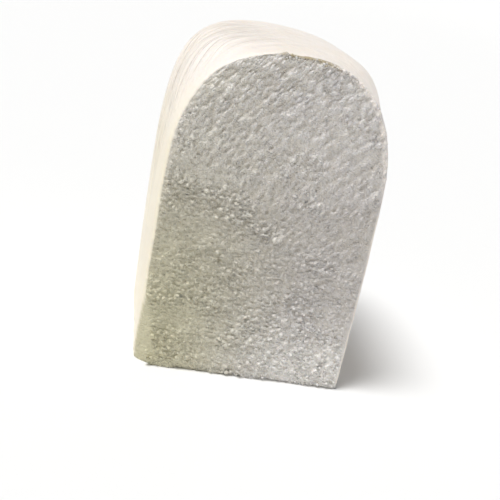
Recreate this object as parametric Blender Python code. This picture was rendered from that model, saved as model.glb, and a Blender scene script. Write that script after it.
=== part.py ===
"""A thick piece cut from a pressed block of paneer.

The block was pressed in cloth, so its outside is a smooth skin with fully rounded edges.
Two knife cuts at right angles took this piece from one corner of the block. It stands on
the lower cut; the other cut is the tall arched face at -Y. Metres, +Z up, and the origin
is on the ground below the middle of the piece.
"""

import bmesh
import bpy
import numpy as np

# Driving dimensions, in metres
HEIGHT = 0.138  # from the lower cut to the crown of the arch
HALF_THICKNESS = 0.0460  # half of the block's thickness, at the arch's shoulders
FOOT_TAPER = 0.0017  # how much further in each flank stands at the lower cut
CROWN_DROP = 0.0565  # height of the rounded crown above the shoulders
CROWN_POWER = 2.47  # 2 is an ellipse, more is squarer
DEPTH = 0.135  # from the tall cut to the rounded back
CORNER_RADIUS = 0.044  # the block's corner, seen across the block
END_POWER = 6.0  # how late the flanks turn in towards the rounded back
BULGE = 0.0005  # the pressed block swells by this much behind the tall cut
CROWN_RISE = 0.0014  # its crown climbs by this much more
SHOULDER_BULGE = 0.0048  # and its two slanting shoulders by this much more
BULGE_REACH = 0.030  # all are reached this far behind the cut

LIP_INSET = 0.0012  # the skin rolls in by this much where it meets the tall cut
LIP_DEPTH = 0.0050  # and starts to roll this far behind the cut
LIP_RAGGED = 0.0005  # unevenness of the crumbling edge between skin and tall cut
LIP_GRAIN = 0.0065
CHIP_HEIGHT = 0.031  # the flake broken off the lower left corner of the tall cut
CHIP_WIDTH = 0.0075
CHIP_DEPTH = 0.0065
UNDERCUT = 0.0014  # how far the torn lower edge is drawn in
UNDERCUT_GRAIN = 0.0050
UNDERCUT_SHARES = (0.55, 0.45)  # its mean and its swing
TORN_BAND = 0.0035  # height of that torn edge

CRUMB_SIZES = (0.0130, 0.0060)  # the coarser curd grains of the tall cut
CRUMB_DEPTHS = (0.0005, 0.0008)
CRUMB_LEVEL = 0.6  # how far the lumps sit back, as a share of their depth
CRUMB_FADE = 0.0040  # the relief dies away over this distance from the edge
EDGE_CRUMB = 0.4  # share of it that stays at the edge itself
DRAG_ANGLE = np.radians(47)  # the knife dragged the curd along this slope
DRAG_STRETCH = 1.7
PLEAT_PITCH = 0.0125  # grooves that the pleated cloth pressed into the left shoulder
PLEAT_DEPTH = 0.0012
PLEAT_SLANT = (0.70, 0.25)  # how far back they climb for each metre to the right and up
PLEAT_WANDER = 0.034  # size of the waves in their course
PLEAT_SWAY = 0.5  # height of those waves, in pitches
PLEAT_STRENGTH = (0.55, 0.75)  # mean depth of a groove and its swing, as shares of the full depth
PLEAT_CHANGE = (1.3, 0.080)  # pitches across and metres along over which that strength changes
PLEAT_TOP = 0.012  # they end this far right of the middle
PLEAT_FLOOR = 0.060  # and above this height
PLEAT_FADE = 0.030  # dying away over this distance
SWELL_SIZE = 0.055  # broad unevenness of the pressed skin
SWELL_DEPTH = 0.0011
SWELL_FADE = 0.020
BACK_FADE = 0.20  # share of the depth over which both die away towards the back
BACK_POWER = 8  # how late the back's own unevenness sets in
CROWN_FADE = 0.006  # half width at which it dies away towards the crown's middle line

# Mesh density
CROWN_ROWS = 26
FLANK_ROWS = 32
FACE_COLUMNS = 34
PLEAT_COLUMNS = 26  # skin columns over the first stretch of each flank
PLEAT_STRETCH = 0.084
BACK_COLUMNS = 9  # and from there to the middle of the back
LIP_STEP = 0.40  # one more column stands at this share of the lip's depth
MERGE = 0.00002  # points closer than this become one
SHARP_ANGLE = np.radians(50)
LATTICE = 64  # side of the table of random heights that the noise reads


def value_noise(u, v, seed):
    """Smooth noise from -1 to 1: random heights on a square lattice, eased between the four nearest."""
    table = np.random.default_rng(seed).uniform(-1.0, 1.0, (LATTICE, LATTICE))
    column, row = np.floor(u).astype(int), np.floor(v).astype(int)
    across, along = u - column, v - row
    across = across * across * (3 - 2 * across)
    along = along * along * (3 - 2 * along)
    near = table[column % LATTICE, row % LATTICE] * (1 - across)
    near += table[(column + 1) % LATTICE, row % LATTICE] * across
    far = table[column % LATTICE, (row + 1) % LATTICE] * (1 - across)
    far += table[(column + 1) % LATTICE, (row + 1) % LATTICE] * across
    return near * (1 - along) + far * along


def crumb(x, z):
    """Relief of the tall cut: lumps of curd with creases between, drawn out along the knife's path."""
    along = x * np.cos(DRAG_ANGLE) + z * np.sin(DRAG_ANGLE)
    across = z * np.cos(DRAG_ANGLE) - x * np.sin(DRAG_ANGLE)
    relief = np.zeros(np.broadcast(x, z).shape)
    for seed, (size, depth) in enumerate(zip(CRUMB_SIZES, CRUMB_DEPTHS)):
        grain = value_noise(along / size / DRAG_STRETCH, across / size, seed)
        relief += depth * (2 * np.abs(grain) - CRUMB_LEVEL)
    return relief


def arch():
    """Half width and height of the tall cut's outline, row by row from the lower cut to the crown."""
    shoulder = HEIGHT - CROWN_DROP
    rise = np.linspace(0.0, 1.0, FLANK_ROWS, endpoint=False)
    turn = np.linspace(0.0, np.pi / 2, CROWN_ROWS)
    flank_width = HALF_THICKNESS - FOOT_TAPER * (1 - rise) ** 2
    crown_width = HALF_THICKNESS * np.maximum(np.cos(turn), 0.0) ** (2 / CROWN_POWER)
    crown_height = shoulder + CROWN_DROP * np.sin(turn) ** (2 / CROWN_POWER)
    width = np.concatenate([flank_width, crown_width])
    height = np.concatenate([rise * shoulder, crown_height])
    width[-1] = 0.0
    return width, height


def back_reach(height):
    """How far back the piece reaches at each height: straight up, then round the block's corner."""
    above = np.clip((height - (HEIGHT - CORNER_RADIUS)) / CORNER_RADIUS, 0.0, 1.0)
    return DEPTH - CORNER_RADIUS * (1 - np.sqrt(1 - above**2))


def ring():
    """The unit outline seen from above, from left front round the back to right front.

    It is a superellipse, |x|^2 + |y|^END_POWER = 1. Its steps are the same on both sides, where
    each side is halved at the middle of the back: short at the lip and where the cloth left its
    pleats, longer round the back.
    """
    turn = np.linspace(0.0, np.pi, 4001)
    x = -np.cos(turn)
    y = np.sin(turn) ** (2 / END_POWER)
    y[-1] = 0.0
    step = np.hypot(np.diff(x) * HALF_THICKNESS, np.diff(y) * DEPTH)
    walked = np.concatenate([[0.0], np.cumsum(step)])
    flank = np.linspace(0.0, PLEAT_STRETCH, PLEAT_COLUMNS, endpoint=False)
    back = np.linspace(PLEAT_STRETCH, walked[-1] / 2, BACK_COLUMNS)
    stops = np.sort(np.concatenate([flank, back, [LIP_DEPTH * LIP_STEP]]))
    stops = np.concatenate([stops, (walked[-1] - stops)[-2::-1]])
    return np.interp(stops, walked, x), np.interp(stops, walked, y)


def arch_normals(width, height):
    """Outward direction of the arch at each row, on its right side."""
    across, up = np.gradient(width), np.gradient(height)
    up[-1] = 0.0  # the crown faces straight up, so that both sides meet there
    length = np.hypot(across, up)
    return up / length, -across / length


def pleats(x, y, z):
    """Cloth pleats: grooves of uneven strength and length that climb backwards over the left shoulder."""
    course = (y - PLEAT_SLANT[0] * x - PLEAT_SLANT[1] * z) / PLEAT_PITCH
    wander = PLEAT_SWAY * value_noise(y / PLEAT_WANDER, z / PLEAT_WANDER, 12)
    groove = ((1 + np.cos(2 * np.pi * (course + wander))) / 2) ** 2
    across, along = PLEAT_CHANGE
    mean, swing = PLEAT_STRENGTH
    strength = np.clip(mean + swing * value_noise(course / across, (x + z) / along, 15), 0, 1)
    floor = PLEAT_FLOOR + PLEAT_FADE / 2 * value_noise(course / across, 0 * z, 16)
    patch = np.clip((PLEAT_TOP - x) / PLEAT_FADE, 0, 1) * np.clip((z - floor) / PLEAT_FADE, 0, 1)
    return -PLEAT_DEPTH * groove * strength * patch


def skin_points(width, height):
    """The skin as rows by columns of points: the arch's width times the unit ring, row by row."""
    unit_x, unit_y = ring()
    x = width[:, None] * unit_x
    y = back_reach(height)[:, None] * unit_y
    z = height[:, None] + 0 * x
    out_x, out_z = arch_normals(width, height)
    side = np.sign(unit_x)

    roll = np.clip(1 - y / LIP_DEPTH, 0.0, 1.0)
    ragged = LIP_RAGGED * value_noise(x / LIP_GRAIN, z / LIP_GRAIN, 13) * roll
    inset = LIP_INSET * (1 - np.sqrt(1 - roll**2)) + ragged
    inset *= np.clip(height / TORN_BAND, 0.0, 1.0)[:, None]
    x -= inset * out_x[:, None] * side
    z -= inset * out_z[:, None]

    hump = np.clip(y / BULGE_REACH, 0.0, 1.0)
    hump = hump * hump * (3 - 2 * hump)
    hump *= np.clip(height / (HEIGHT - CROWN_DROP), 0.0, 1.0)[:, None]
    shoulder = SHOULDER_BULGE * (2 * out_x * out_z)[:, None] ** 2
    x += (BULGE + shoulder) * hump * out_x[:, None] * side
    z += (BULGE + shoulder + CROWN_RISE) * hump * out_z[:, None]

    swell = SWELL_DEPTH * value_noise(y / SWELL_SIZE + side, z / SWELL_SIZE, 11)
    swell *= np.clip(width / CROWN_FADE, 0, 1)[:, None]
    relief = (swell + pleats(x, y, z)) * np.clip((y - LIP_DEPTH) / SWELL_FADE, 0, 1)
    relief *= np.clip((1 - unit_y) / BACK_FADE, 0, 1)
    x += relief * out_x[:, None] * side
    z += relief * out_z[:, None] * np.clip(height / SWELL_FADE, 0, 1)[:, None]
    y += SWELL_DEPTH * value_noise(x / SWELL_SIZE, z / SWELL_SIZE, 17) * unit_y**BACK_POWER

    fall = np.clip(1 - height / CHIP_HEIGHT, 0, 1)[:, None]
    chip = fall * CHIP_WIDTH * np.clip(1 - y / np.maximum(fall * CHIP_DEPTH, 1e-6), 0, 1)
    x += np.where(side < 0, chip, 0.0)
    return x, y, z


def tear_foot(x, y):
    """Draws the lowest row in by an uneven amount, so that the lower edge looks torn."""
    mean, swing = UNDERCUT_SHARES
    draw = UNDERCUT * (mean + swing * value_noise(x / UNDERCUT_GRAIN, y / UNDERCUT_GRAIN, 21))
    middle_y = DEPTH / 2
    reach = np.hypot(x, y - middle_y)
    return x - draw * x / reach, y - draw * (y - middle_y) / reach


def face_points(left, right):
    """The tall cut as rows by columns of points between the two ends of each skin row."""
    share = np.linspace(0.0, 1.0, FACE_COLUMNS)
    x = left[0][:, None] * (1 - share) + right[0][:, None] * share
    z = left[2][:, None] * (1 - share) + right[2][:, None] * share
    y = left[1][:, None] * (1 - share) + right[1][:, None] * share
    edge = np.minimum(share, 1 - share) * (right[0] - left[0])[:, None]
    y += crumb(x, z) * np.clip(edge / CRUMB_FADE, 0, 1)
    return x, y, z


def closed_mesh():
    """Joins skin, tall cut and lower cut into one closed surface and returns points and faces."""
    width, height = arch()
    height = height.copy()
    height[1] = TORN_BAND
    x, y, z = skin_points(width, height)
    y[:, 0] += crumb(x[:, 0], z[:, 0]) * EDGE_CRUMB
    y[:, -1] += crumb(x[:, -1], z[:, -1]) * EDGE_CRUMB
    z[0] = 0.0
    face = face_points((x[:, 0], y[:, 0], z[:, 0]), (x[:, -1], y[:, -1], z[:, -1]))
    x[0], y[0] = tear_foot(x[0], y[0])
    face[0][0], face[1][0] = tear_foot(face[0][0], face[1][0])

    skin = np.stack([x, y, z], -1)
    front = np.stack(face, -1)[:, ::-1]
    rows, around = skin.shape[0], skin.shape[1] + front.shape[1] - 2
    loop = np.concatenate([skin, front[:, 1:-1]], axis=1)
    points = loop.reshape(-1, 3)
    index = np.arange(rows * around).reshape(rows, around)
    low, high = index[:-1], index[1:]
    quads = np.stack([low, high, np.roll(high, -1, 1), np.roll(low, -1, 1)], -1)
    return points, quads.reshape(-1, 4).tolist(), index[0][::-1].tolist()


def paneer_material():
    """Milk white, slightly warm, with the dull sheen of fresh pressed curd."""
    material = bpy.data.materials.new("pressed_curd")
    material.use_nodes = True
    shader = material.node_tree.nodes["Principled BSDF"]
    shader.inputs["Base Color"].default_value = (0.90, 0.87, 0.80, 1.0)
    shader.inputs["Roughness"].default_value = 0.62
    shader.inputs["Metallic"].default_value = 0.0
    return material


def build_paneer():
    """One closed solid: the cut piece of paneer."""
    points, quads, foot = closed_mesh()
    mesh = bpy.data.meshes.new("paneer")
    mesh.from_pydata(points.tolist(), [], quads + [foot])
    work = bmesh.new()
    work.from_mesh(mesh)
    bmesh.ops.remove_doubles(work, verts=work.verts, dist=MERGE)
    bmesh.ops.dissolve_degenerate(work, edges=work.edges, dist=MERGE / 2)
    bmesh.ops.recalc_face_normals(work, faces=work.faces)
    for axis in (0, 1):
        spread = [corner.co[axis] for corner in work.verts]
        shift = [0.0, 0.0, 0.0]
        shift[axis] = -(min(spread) + max(spread)) / 2
        bmesh.ops.translate(work, verts=work.verts, vec=shift)
    work.to_mesh(mesh)
    work.free()
    mesh.shade_smooth()
    mesh.set_sharp_from_angle(angle=SHARP_ANGLE)
    piece = bpy.data.objects.new("paneer", mesh)
    mesh.materials.append(paneer_material())
    bpy.context.scene.collection.objects.link(piece)


def main():
    for old in list(bpy.data.objects):
        bpy.data.objects.remove(old)
    build_paneer()


main()
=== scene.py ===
"""A piece cut from a cloth-pressed block of paneer: its skin, its crumbly cut and a plain stage.

The piece stands on one knife cut and turns its other, tall arched cut to -Y. All sizes are in
metres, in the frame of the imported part. The block and its clinging crumbs are surfaces worked out
with numpy, and every colour and fine grain is procedural.
"""

import bmesh
import bpy
import numpy as np
from bpy.props import FloatProperty, FloatVectorProperty, IntProperty, PointerProperty
from mathutils import Matrix, Vector


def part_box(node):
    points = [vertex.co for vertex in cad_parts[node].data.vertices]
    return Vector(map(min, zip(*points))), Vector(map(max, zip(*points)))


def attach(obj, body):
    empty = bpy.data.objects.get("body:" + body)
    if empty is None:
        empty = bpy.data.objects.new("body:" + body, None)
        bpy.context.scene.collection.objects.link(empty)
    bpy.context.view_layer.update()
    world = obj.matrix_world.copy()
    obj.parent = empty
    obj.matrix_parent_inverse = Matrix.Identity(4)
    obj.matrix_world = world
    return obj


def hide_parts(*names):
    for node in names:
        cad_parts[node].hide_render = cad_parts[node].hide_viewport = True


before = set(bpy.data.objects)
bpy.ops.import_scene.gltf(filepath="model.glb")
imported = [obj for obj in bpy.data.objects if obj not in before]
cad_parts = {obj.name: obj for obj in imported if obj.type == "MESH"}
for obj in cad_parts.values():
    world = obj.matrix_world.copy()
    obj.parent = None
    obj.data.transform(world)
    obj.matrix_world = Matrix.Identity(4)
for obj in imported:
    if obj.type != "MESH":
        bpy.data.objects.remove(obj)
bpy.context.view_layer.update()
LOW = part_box("paneer")[0]

bl_info = {
    "name": "Cut piece of paneer",
    "version": (1, 0, 0),
    "blender": (4, 5, 0),
    "location": "3D View > Sidebar > Paneer",
    "description": "Builds a cut piece of paneer with its clinging crumbs, and a stage for it",
    "category": "Object",
}

# The form, as the solid has it, in metres
HEIGHT = 0.138  # from the lower cut to the crown of the arch
HALF_THICKNESS = 0.0460  # half of the block's thickness, at the arch's shoulders
FOOT_TAPER = 0.0017  # how much further in each flank stands at the lower cut
CROWN_DROP = 0.0565  # height of the rounded crown above the shoulders
SHOULDER = HEIGHT - CROWN_DROP
CROWN_POWER = 2.47  # 2 is an ellipse, more is squarer
DEPTH = 0.135  # from the tall cut to the rounded back
CORNER_RADIUS = 0.044  # the block's corner, seen across the block
END_POWER = 6.0  # how late the flanks turn in towards the rounded back
BULGE = 0.0005  # the pressed block swells by this much behind the tall cut
CROWN_RISE = 0.0014  # its crown climbs by this much more
SHOULDER_BULGE = 0.0048  # and its two shoulders swell by this much more
BULGE_REACH = 0.030  # all three are reached this far behind the cut
LIP_INSET = 0.0012  # the skin rolls in by this much where it meets the tall cut
LIP_DEPTH = 0.0050
LIP_RAGGED = 0.0005
LIP_GRAIN = 0.0065
CHIP_HEIGHT = 0.031  # the flake broken off the lower left corner of the tall cut
CHIP_WIDTH = 0.0075
CHIP_DEPTH = 0.0065
UNDERCUT = 0.0014  # how far the torn lower edge is drawn in
UNDERCUT_SHARES = (0.55, 0.45)  # its mean and its swing
UNDERCUT_GRAIN = 0.0050
UNDERCUT_FINE = (0.16, 0.0016)  # the swing and the size of its finest teeth
TORN_BAND = 0.0035
CRUMB_SIZES = (0.0130, 0.0060)  # the coarser curd grains of the tall cut
CRUMB_DEPTHS = (0.0005, 0.0008)
CRUMB_LEVEL = 0.6
DRAG_ANGLE = np.radians(47)  # the knife dragged the curd along this slope
DRAG_STRETCH = 1.7
PLEAT_PITCH = 0.0125
PLEAT_SLANT = (0.70, 0.25)  # how far back a pleat runs for each metre to the right and upwards
PLEAT_WANDER = 0.034
PLEAT_SWAY = 0.5
PLEAT_STRENGTH = (0.55, 0.75)
PLEAT_CHANGE = (1.3, 0.080)
PLEAT_TOP = 0.012
PLEAT_FLOOR = 0.060
PLEAT_FADE = 0.030
PLEAT_POWERS = (2, 9)  # the grooves' own, and that of their sharp bottoms
SWELL_SIZE = 0.055
SWELL_DEPTH = 0.0011
SWELL_FADE = 0.020
BACK_FADE = 0.20  # share of the depth over which the skin's relief dies away towards the back
BACK_POWER = 8
CROWN_FADE = 0.006

# Finer detail than the solid carries: grains of curd
CRUMB_SHARE = 0.30  # how much of the solid's coarse curd relief stays beside the fine grain
LOW_DRAG_ANGLE = np.radians(2)  # lower down the knife's marks lie almost level
DRAG_TURN = (0.055, 0.095)  # heights between which they turn
TURN_SLOPE = 0.5  # and by how much of the distance to the left these heights lie higher
TURN_SWAY = (0.010, 0.020)  # how far the turn wanders up and down, and over what size
PATCH_SIZE = (0.013, 0.008)  # length and height of the crumbly and the smeared patches
ROUGH_SHARE = 0.52  # the share of crumbly patches in the middle
ROUGH_TO_LEFT = 5.0  # and what it gains for each metre to the left
ROUGH_CORNER = ((0.0286, 0.0066), (-0.016, 0.004))  # heights and places where the crumbly corner sets in
ROUGH_CORNER_GAIN = (1.1, 0.25)  # what it adds to the patches' share, and on top of the patches
PEBBLE_RADII = (0.40, 0.34)  # a mound's least radius and its range, in lattice squares
PEBBLE_LEAST = 0.20  # height of the lowest mound, where the highest's is 1
MOUND_SIZE = 0.00145  # height of the larger mounds of curd
MOUND_STRETCH = (1.8, 2.4)  # their length for their height, where the marks are level and steep
MOUND_SWAY = 0.2  # how far they stray from the knife's path
MOUND_MIX = (0.55, 0.45)  # shares of the larger and the smaller ones
SMALL_MOUND = 0.66  # size of the smaller ones
MOUND_DEPTH = 0.0018
GRAIN_SIZE = (0.0016, 0.0011)  # length and height of the grains on and between them
GRAIN_STRETCH = (1.0, 1.5)
GRAIN_SHARES = (0.6, 1.0)
GRAIN_DEPTH = 0.00042
LEVEL_SHARES = (0.80, 0.60)  # how far both stand out where the marks are level, at least and more
STEEP_SHARES = (0.64, 0.42)  # and where they are steep
TURN_LIFT = 1.3  # and how much more where the marks turn
STREAK_SIZE = (0.013, 0.0012)  # length and width of the knife's fine streaks
STREAK_RISE = (0.060, 0.110)  # heights between which they grow
STREAK_LEAST = 0.2  # from this share
STREAK_DEPTH = 0.00046
PIT_SPACING = 0.021  # small holes in the curd
PIT_RADII = (0.025, 0.035)  # their least radius and its range, in spacings
PIT_DEPTH = 0.0014
LIFT_SHARES = (1.8, 0.5, 1.5)  # of mounds, grains and pits in the lift, which the painted shade in creases and painted highlights on grains follow
LIFT_LEVEL = 0.6  # and what is taken off their sum
FINE_FADE = 0.0024  # the fine grain dies away over this distance from the cut's edge
FINE_LEAST = 0.25  # down to this share

# The rim of the tall cut, its chip and the lower cut
RIM_CRUMB_SIZE = 0.0022  # crumbs torn up along the right half of the crown's rim
RIM_CRUMB_DEPTH = 0.0006
RIM_FROM = (-0.016, -0.002)  # where the torn rim sets in and is full, from left to right
RIM_ABOVE = (0.075, 0.105)  # and from below
RIM_BAND = 0.0030  # width of the torn and dried rim on the tall cut
RIM_EDGE = (0.30, 0.16, 0.004)  # the torn rim's reach over the lip, and that reach's swing and size
LIP_BARE = (0.97, 0.10)  # the lip's roll from which curd shows, and the softness of that limit
LIP_RAGGED_LEAST = 0.4  # share of the lip's raggedness away from the torn rim
FOOT_BARE = (0.8, 0.0015)  # share of the torn band where curd shows, and the softness of its limit
FOOT_LIFT_LEAST = 0.4  # share of the lift at the very foot
CHIP_EDGE = 0.0006  # the chip's curd shows in full where it is deeper than this
CHIP_CRUMB = (0.0004, 0.0017)  # depth and size of its crumbs
FOOT_HOLLOW = 0.0008  # the lower cut is uneven by this much
FOOT_GRAIN = 0.005

# Fine creases of the skin
CREASE_SIZE = (0.0052, 0.060)  # width and length of the fine creases that run beside the pleats
CREASE_DEPTH = 0.0005
CREASE_WANDER = (0.012, 28.0)  # how far they wander, and how often for each metre
FAINT_CREASE_PITCH = 0.021  # the faint ones elsewhere on the skin
FAINT_CREASE_LENGTH = 0.09
FAINT_CREASE_PATCH = 0.05
FAINT_CREASE_SLANT = 0.25
FAINT_CREASE_SHARE = 0.25
CREASE_WIDTH = 0.20  # half width of a crease, as a share of its noise's height
PLEAT_SHARES = (0.7, 0.5)  # how deep the broad and the sharp parts of a pleat are
PLEAT_LIFTS = (0.30, 0.70)  # and how much they count for the lift, which sets the painted shade in the pleats
FAINT_CREASE_LIFT = 0.15

# Patches of colour and wear: features for each metre, detail, and the noise that counts as none and as full
MOTTLE = (110.0, 4.0, 0.35, 0.70)
CRUST = (260.0, 4.0, 0.30, 0.58)
RIM_PATCHES = (330.0, 3.0, 0.34, 0.58)
BLOTCHES = (32.0, 3.0, 0.38, 0.68)
WEAVE_PATCHES = (45.0, 2.0, 0.40, 0.70)
PINHOLE_PATCHES = (70.0, 3.0, 0.50, 0.72)

# Courses of the colours: the height or the place from left to right where each sets in and where it is full
# painted shade: the cut is greyed from the first height down to the second, where less light reaches
MID_SHADE_HEIGHTS = (0.125, 0.060)
LOWER_HEIGHTS = (0.055, 0.020)
# painted reflection: yellow light thrown onto the cut low on the left, between these heights and places
YELLOW_BOUNCE_HEIGHTS = (0.115, 0.010)
YELLOW_BOUNCE_PLACES = (0.030, -0.046)
PALE_FOOT_HEIGHTS = (0.034, 0.006)
PALE_FOOT_PLACES = (-0.020, 0.025)
BROWN_RIM_PLACES = ((0.022, 0.008), (-0.030, -0.010))
PALE_RIM_PLACES = (0.008, 0.020)
# painted reflection: yellow light thrown onto the skin low on the left flank, between these heights and
# places
FLANK_BOUNCE_HEIGHTS = (0.128, 0.085)
FLANK_BOUNCE_PLACES = (-0.020, -0.044)

# Levels of the stored numbers where each colour sets in and where it is full
# painted shade in the cut's creases sets in and is full at these lift levels
CREASE_SHADE_LEVELS = (0.05, -0.75)
# painted highlight on the cut's grain tops sets in and is full at these lift levels
RAISED_HIGHLIGHT_LEVELS = (0.25, 1.10)
# painted shade in the skin's pleats sets in and is full at these lift levels
GROOVE_SHADE_LEVELS = (0.0, -0.9)
BROWN_RIM_LEVELS = (0.30, 0.85)
PALE_RIM_LEVELS = (0.15, 0.70)

# Shares of the colours where they are full
MOTTLE_SHARE = 0.5
MID_SHADE_SHARES = (0.75, -0.42)  # of the painted shade that greys the cut's middle, and what is added lower down
# share of the painted shade in the cut's creases
CUT_CREASE_SHADE_SHARE = 0.55
# share of the painted highlight on the grain tops
RAISED_HIGHLIGHT_SHARE = 0.7
YELLOW_BOUNCE_SHARES = (0.25, 0.70)  # of the painted yellow reflected light high up, and what is added low down
PALE_FOOT_SHARE = 0.8
# share of the painted yellow reflected light on the left flank
FLANK_BOUNCE_SHARE = 0.55
# shares of the painted shade in the skin's fine creases and in its pleat grooves
SKIN_CREASE_SHADE_SHARE = 0.32
GROOVE_SHADE_SHARE = 0.9
SPECKS = (95.0, 0.80)  # places for a speck for each metre, and the share of them that stays empty
SPECK_EDGE = (0.045, 0.022)

# Grain and shine in the materials
CREASE_LEVEL = 0.110  # how far from its middle a noise still counts as a crease
SKIN_SHINE = (60.0, 0.16, 0.36)  # features for each metre, swing and least of the roughness
CUT_SHINE = (900.0, 0.30, 0.34)
SKIN_WAVES = (130.0, 2.0)  # noise: features for each metre, detail and roughness
SKIN_GRAIN = (700.0, 4.0, 0.6)
CUT_GRAIN = (600.0, 2.0, 0.5)
PINHOLES = (330.0, 0.22)  # pinholes for each metre, and their radius in their own spacing
CUT_GRAINS = 1050.0
SKIN_WAVE_HEIGHT = 0.0009
WEAVE_HEIGHT = 0.00003
PINHOLE_DEPTH = 0.0011
SKIN_GRAIN_HEIGHT = 0.00012
CUT_GRAIN_HEIGHTS = (0.0007, -0.00045)

# Crumbs
CRUMB_GRID = (3, 7)  # a crumb's rings between its poles, and the corners of each
CRUMB_UNEVEN = 0.12  # share by which a corner may lie further out or in
# the crumbs' lift, which gives them a little painted highlight
CRUMB_LIFT = 0.3
CRUMB_SHAPE = (0.6, 1.0)  # least and greatest share of a crumb's size in each direction
CRUMB_BAND = (0.0015, 0.026)  # height of the lowest crumb, and of the band above it that holds them
CRUMB_INSET = 0.0024  # they stay this far from the flanks' outer sides
CRUMB_CROWDING = (1.6, 1.5, 2.5)  # towards the lower edge, towards the right, and towards the smallest size
RIM_CRUMB_SPAN = (-0.006, 0.038)  # where those of the rim set in, and how far they reach
RIM_CRUMB_BELOW = (0.0002, 0.0022)  # how far below the rim they lie, at least and more
RIM_CRUMB_SHARE = 0.75  # their size
RIM_CRUMB_CROWDING = 2
RIM_CRUMB_RIMS = (0.3, 1.0)  # how far they count as rim

# Mesh density
FLANK_ROWS = 168
CROWN_ROWS = 118
FACE_COLUMNS = 184
LIP_COLUMNS = 7
PLEAT_COLUMNS = 58
BACK_COLUMNS = 13
PLEAT_STRETCH = 0.118  # the closer columns of the flanks end this far round from the tall cut
FOOT_RINGS = 9
RING_SAMPLES = 4001
FLOOR_GRID = (48, 96)
LATTICE = 64  # side of the tables of random numbers that the noise reads
MERGE = 0.000002  # points closer than this are joined
FRONT_ROOM = 0.0009  # the tall cut's mean plane lies this far behind the solid's foremost point
CRUMB_ROOM = 0.0016  # and no crumb stands out further than this before that point
CRUMB_FLOOR = 0.0002  # nor lies lower than this

# The stage
SUN_FROM = Vector((-0.32, -0.18, 1.0))  # direction to the soft overhead light
CAMERA_AT = Vector((-0.0782, -0.4982, 0.1837))
CAMERA_AIM = Vector((-0.0024, -0.0533, 0.0522))
BOWL_RISE = 0.9


# ---- noise


def eased(share):
    """Smoothstep: 3 s squared less 2 s cubed, for a share clipped to 0 to 1."""
    share = np.clip(share, 0.0, 1.0)
    return share * share * (3 - 2 * share)


def grown(value, start, full):
    """Smoothstep of a value's way from where a share sets in to where it is full."""
    return eased((value - start) / (full - start))


def at_least(least, share):
    """The least, plus the share of what is left up to 1."""
    return least + (1 - least) * share


def value_noise(u, v, seed):
    """Smooth noise from -1 to 1: random heights on a square lattice, eased between the four nearest."""
    table = np.random.default_rng(seed).uniform(-1.0, 1.0, (LATTICE, LATTICE))
    column, row = np.floor(u).astype(int), np.floor(v).astype(int)
    across, along = eased(u - column), eased(v - row)
    near = table[column % LATTICE, row % LATTICE] * (1 - across)
    near += table[(column + 1) % LATTICE, row % LATTICE] * across
    far = table[column % LATTICE, (row + 1) % LATTICE] * (1 - across)
    far += table[(column + 1) % LATTICE, (row + 1) % LATTICE] * across
    return near * (1 - along) + far * along


def pebbles(u, v, seed, radii=PEBBLE_RADII):
    """Soft mounds of uneven size on a level ground, from 0 to 1.

    Each lattice square holds one random point with its own radius r and height h. A mound is
    h (1 - d^2 / r^2)^2 at the distance d from its point, and the highest mound counts.
    """
    least, more = radii
    spots = np.random.default_rng(seed).uniform(0.0, 1.0, (4, LATTICE, LATTICE))
    column, row = np.floor(u).astype(int), np.floor(v).astype(int)
    highest = np.zeros(np.broadcast(u, v).shape)
    for step_u in (-1, 0, 1):
        for step_v in (-1, 0, 1):
            near_u, near_v = column + step_u, row + step_v
            place_u, place_v, breadth, rise = spots[:, near_u % LATTICE, near_v % LATTICE]
            away = (near_u + place_u - u) ** 2 + (near_v + place_v - v) ** 2
            dome = np.maximum(1 - away / (least + more * breadth) ** 2, 0.0) ** 2
            highest = np.maximum(highest, at_least(PEBBLE_LEAST, rise) * dome)
    return highest


def crease_lines(across, along, seed):
    """Long thin creases, 0 to 1, where a noise that is drawn out along them passes through nought."""
    level = value_noise(across, along, seed)
    return np.exp(-((level / CREASE_WIDTH) ** 2))


def turned(x, z, angle):
    """Coordinates along and across a direction on the tall cut."""
    return x * np.cos(angle) + z * np.sin(angle), z * np.cos(angle) - x * np.sin(angle)


# ---- relief of the tall cut


def crumb(x, z):
    """The solid's own relief: lumps of curd with creases between, drawn out along the knife's path."""
    along, across = turned(x, z, DRAG_ANGLE)
    relief = np.zeros(np.broadcast(x, z).shape)
    for seed, (size, depth) in enumerate(zip(CRUMB_SIZES, CRUMB_DEPTHS)):
        grain = value_noise(along / size / DRAG_STRETCH, across / size, seed)
        relief += depth * (2 * np.abs(grain) - CRUMB_LEVEL)
    return CRUMB_SHARE * relief


def steepness(x, z):
    """0 where the knife's marks lie almost level, 1 where they are steep."""
    low, high = DRAG_TURN
    sway, size = TURN_SWAY
    height = z + TURN_SLOPE * x + sway * value_noise(x / size, z / size, 60)
    return grown(height, low, high)


def roughness(x, z):
    """0 on the cut's smeared patches, 1 on its crumbly ones, and more in the corner low on the right."""
    heights, places = ROUGH_CORNER
    corner = grown(z, *heights) * grown(x, *places)
    length, height = PATCH_SIZE
    gain, more = ROUGH_CORNER_GAIN
    share = ROUGH_SHARE + value_noise(x / length, z / height, 56) - ROUGH_TO_LEFT * x + gain * corner
    return eased(share) + more * corner


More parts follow.
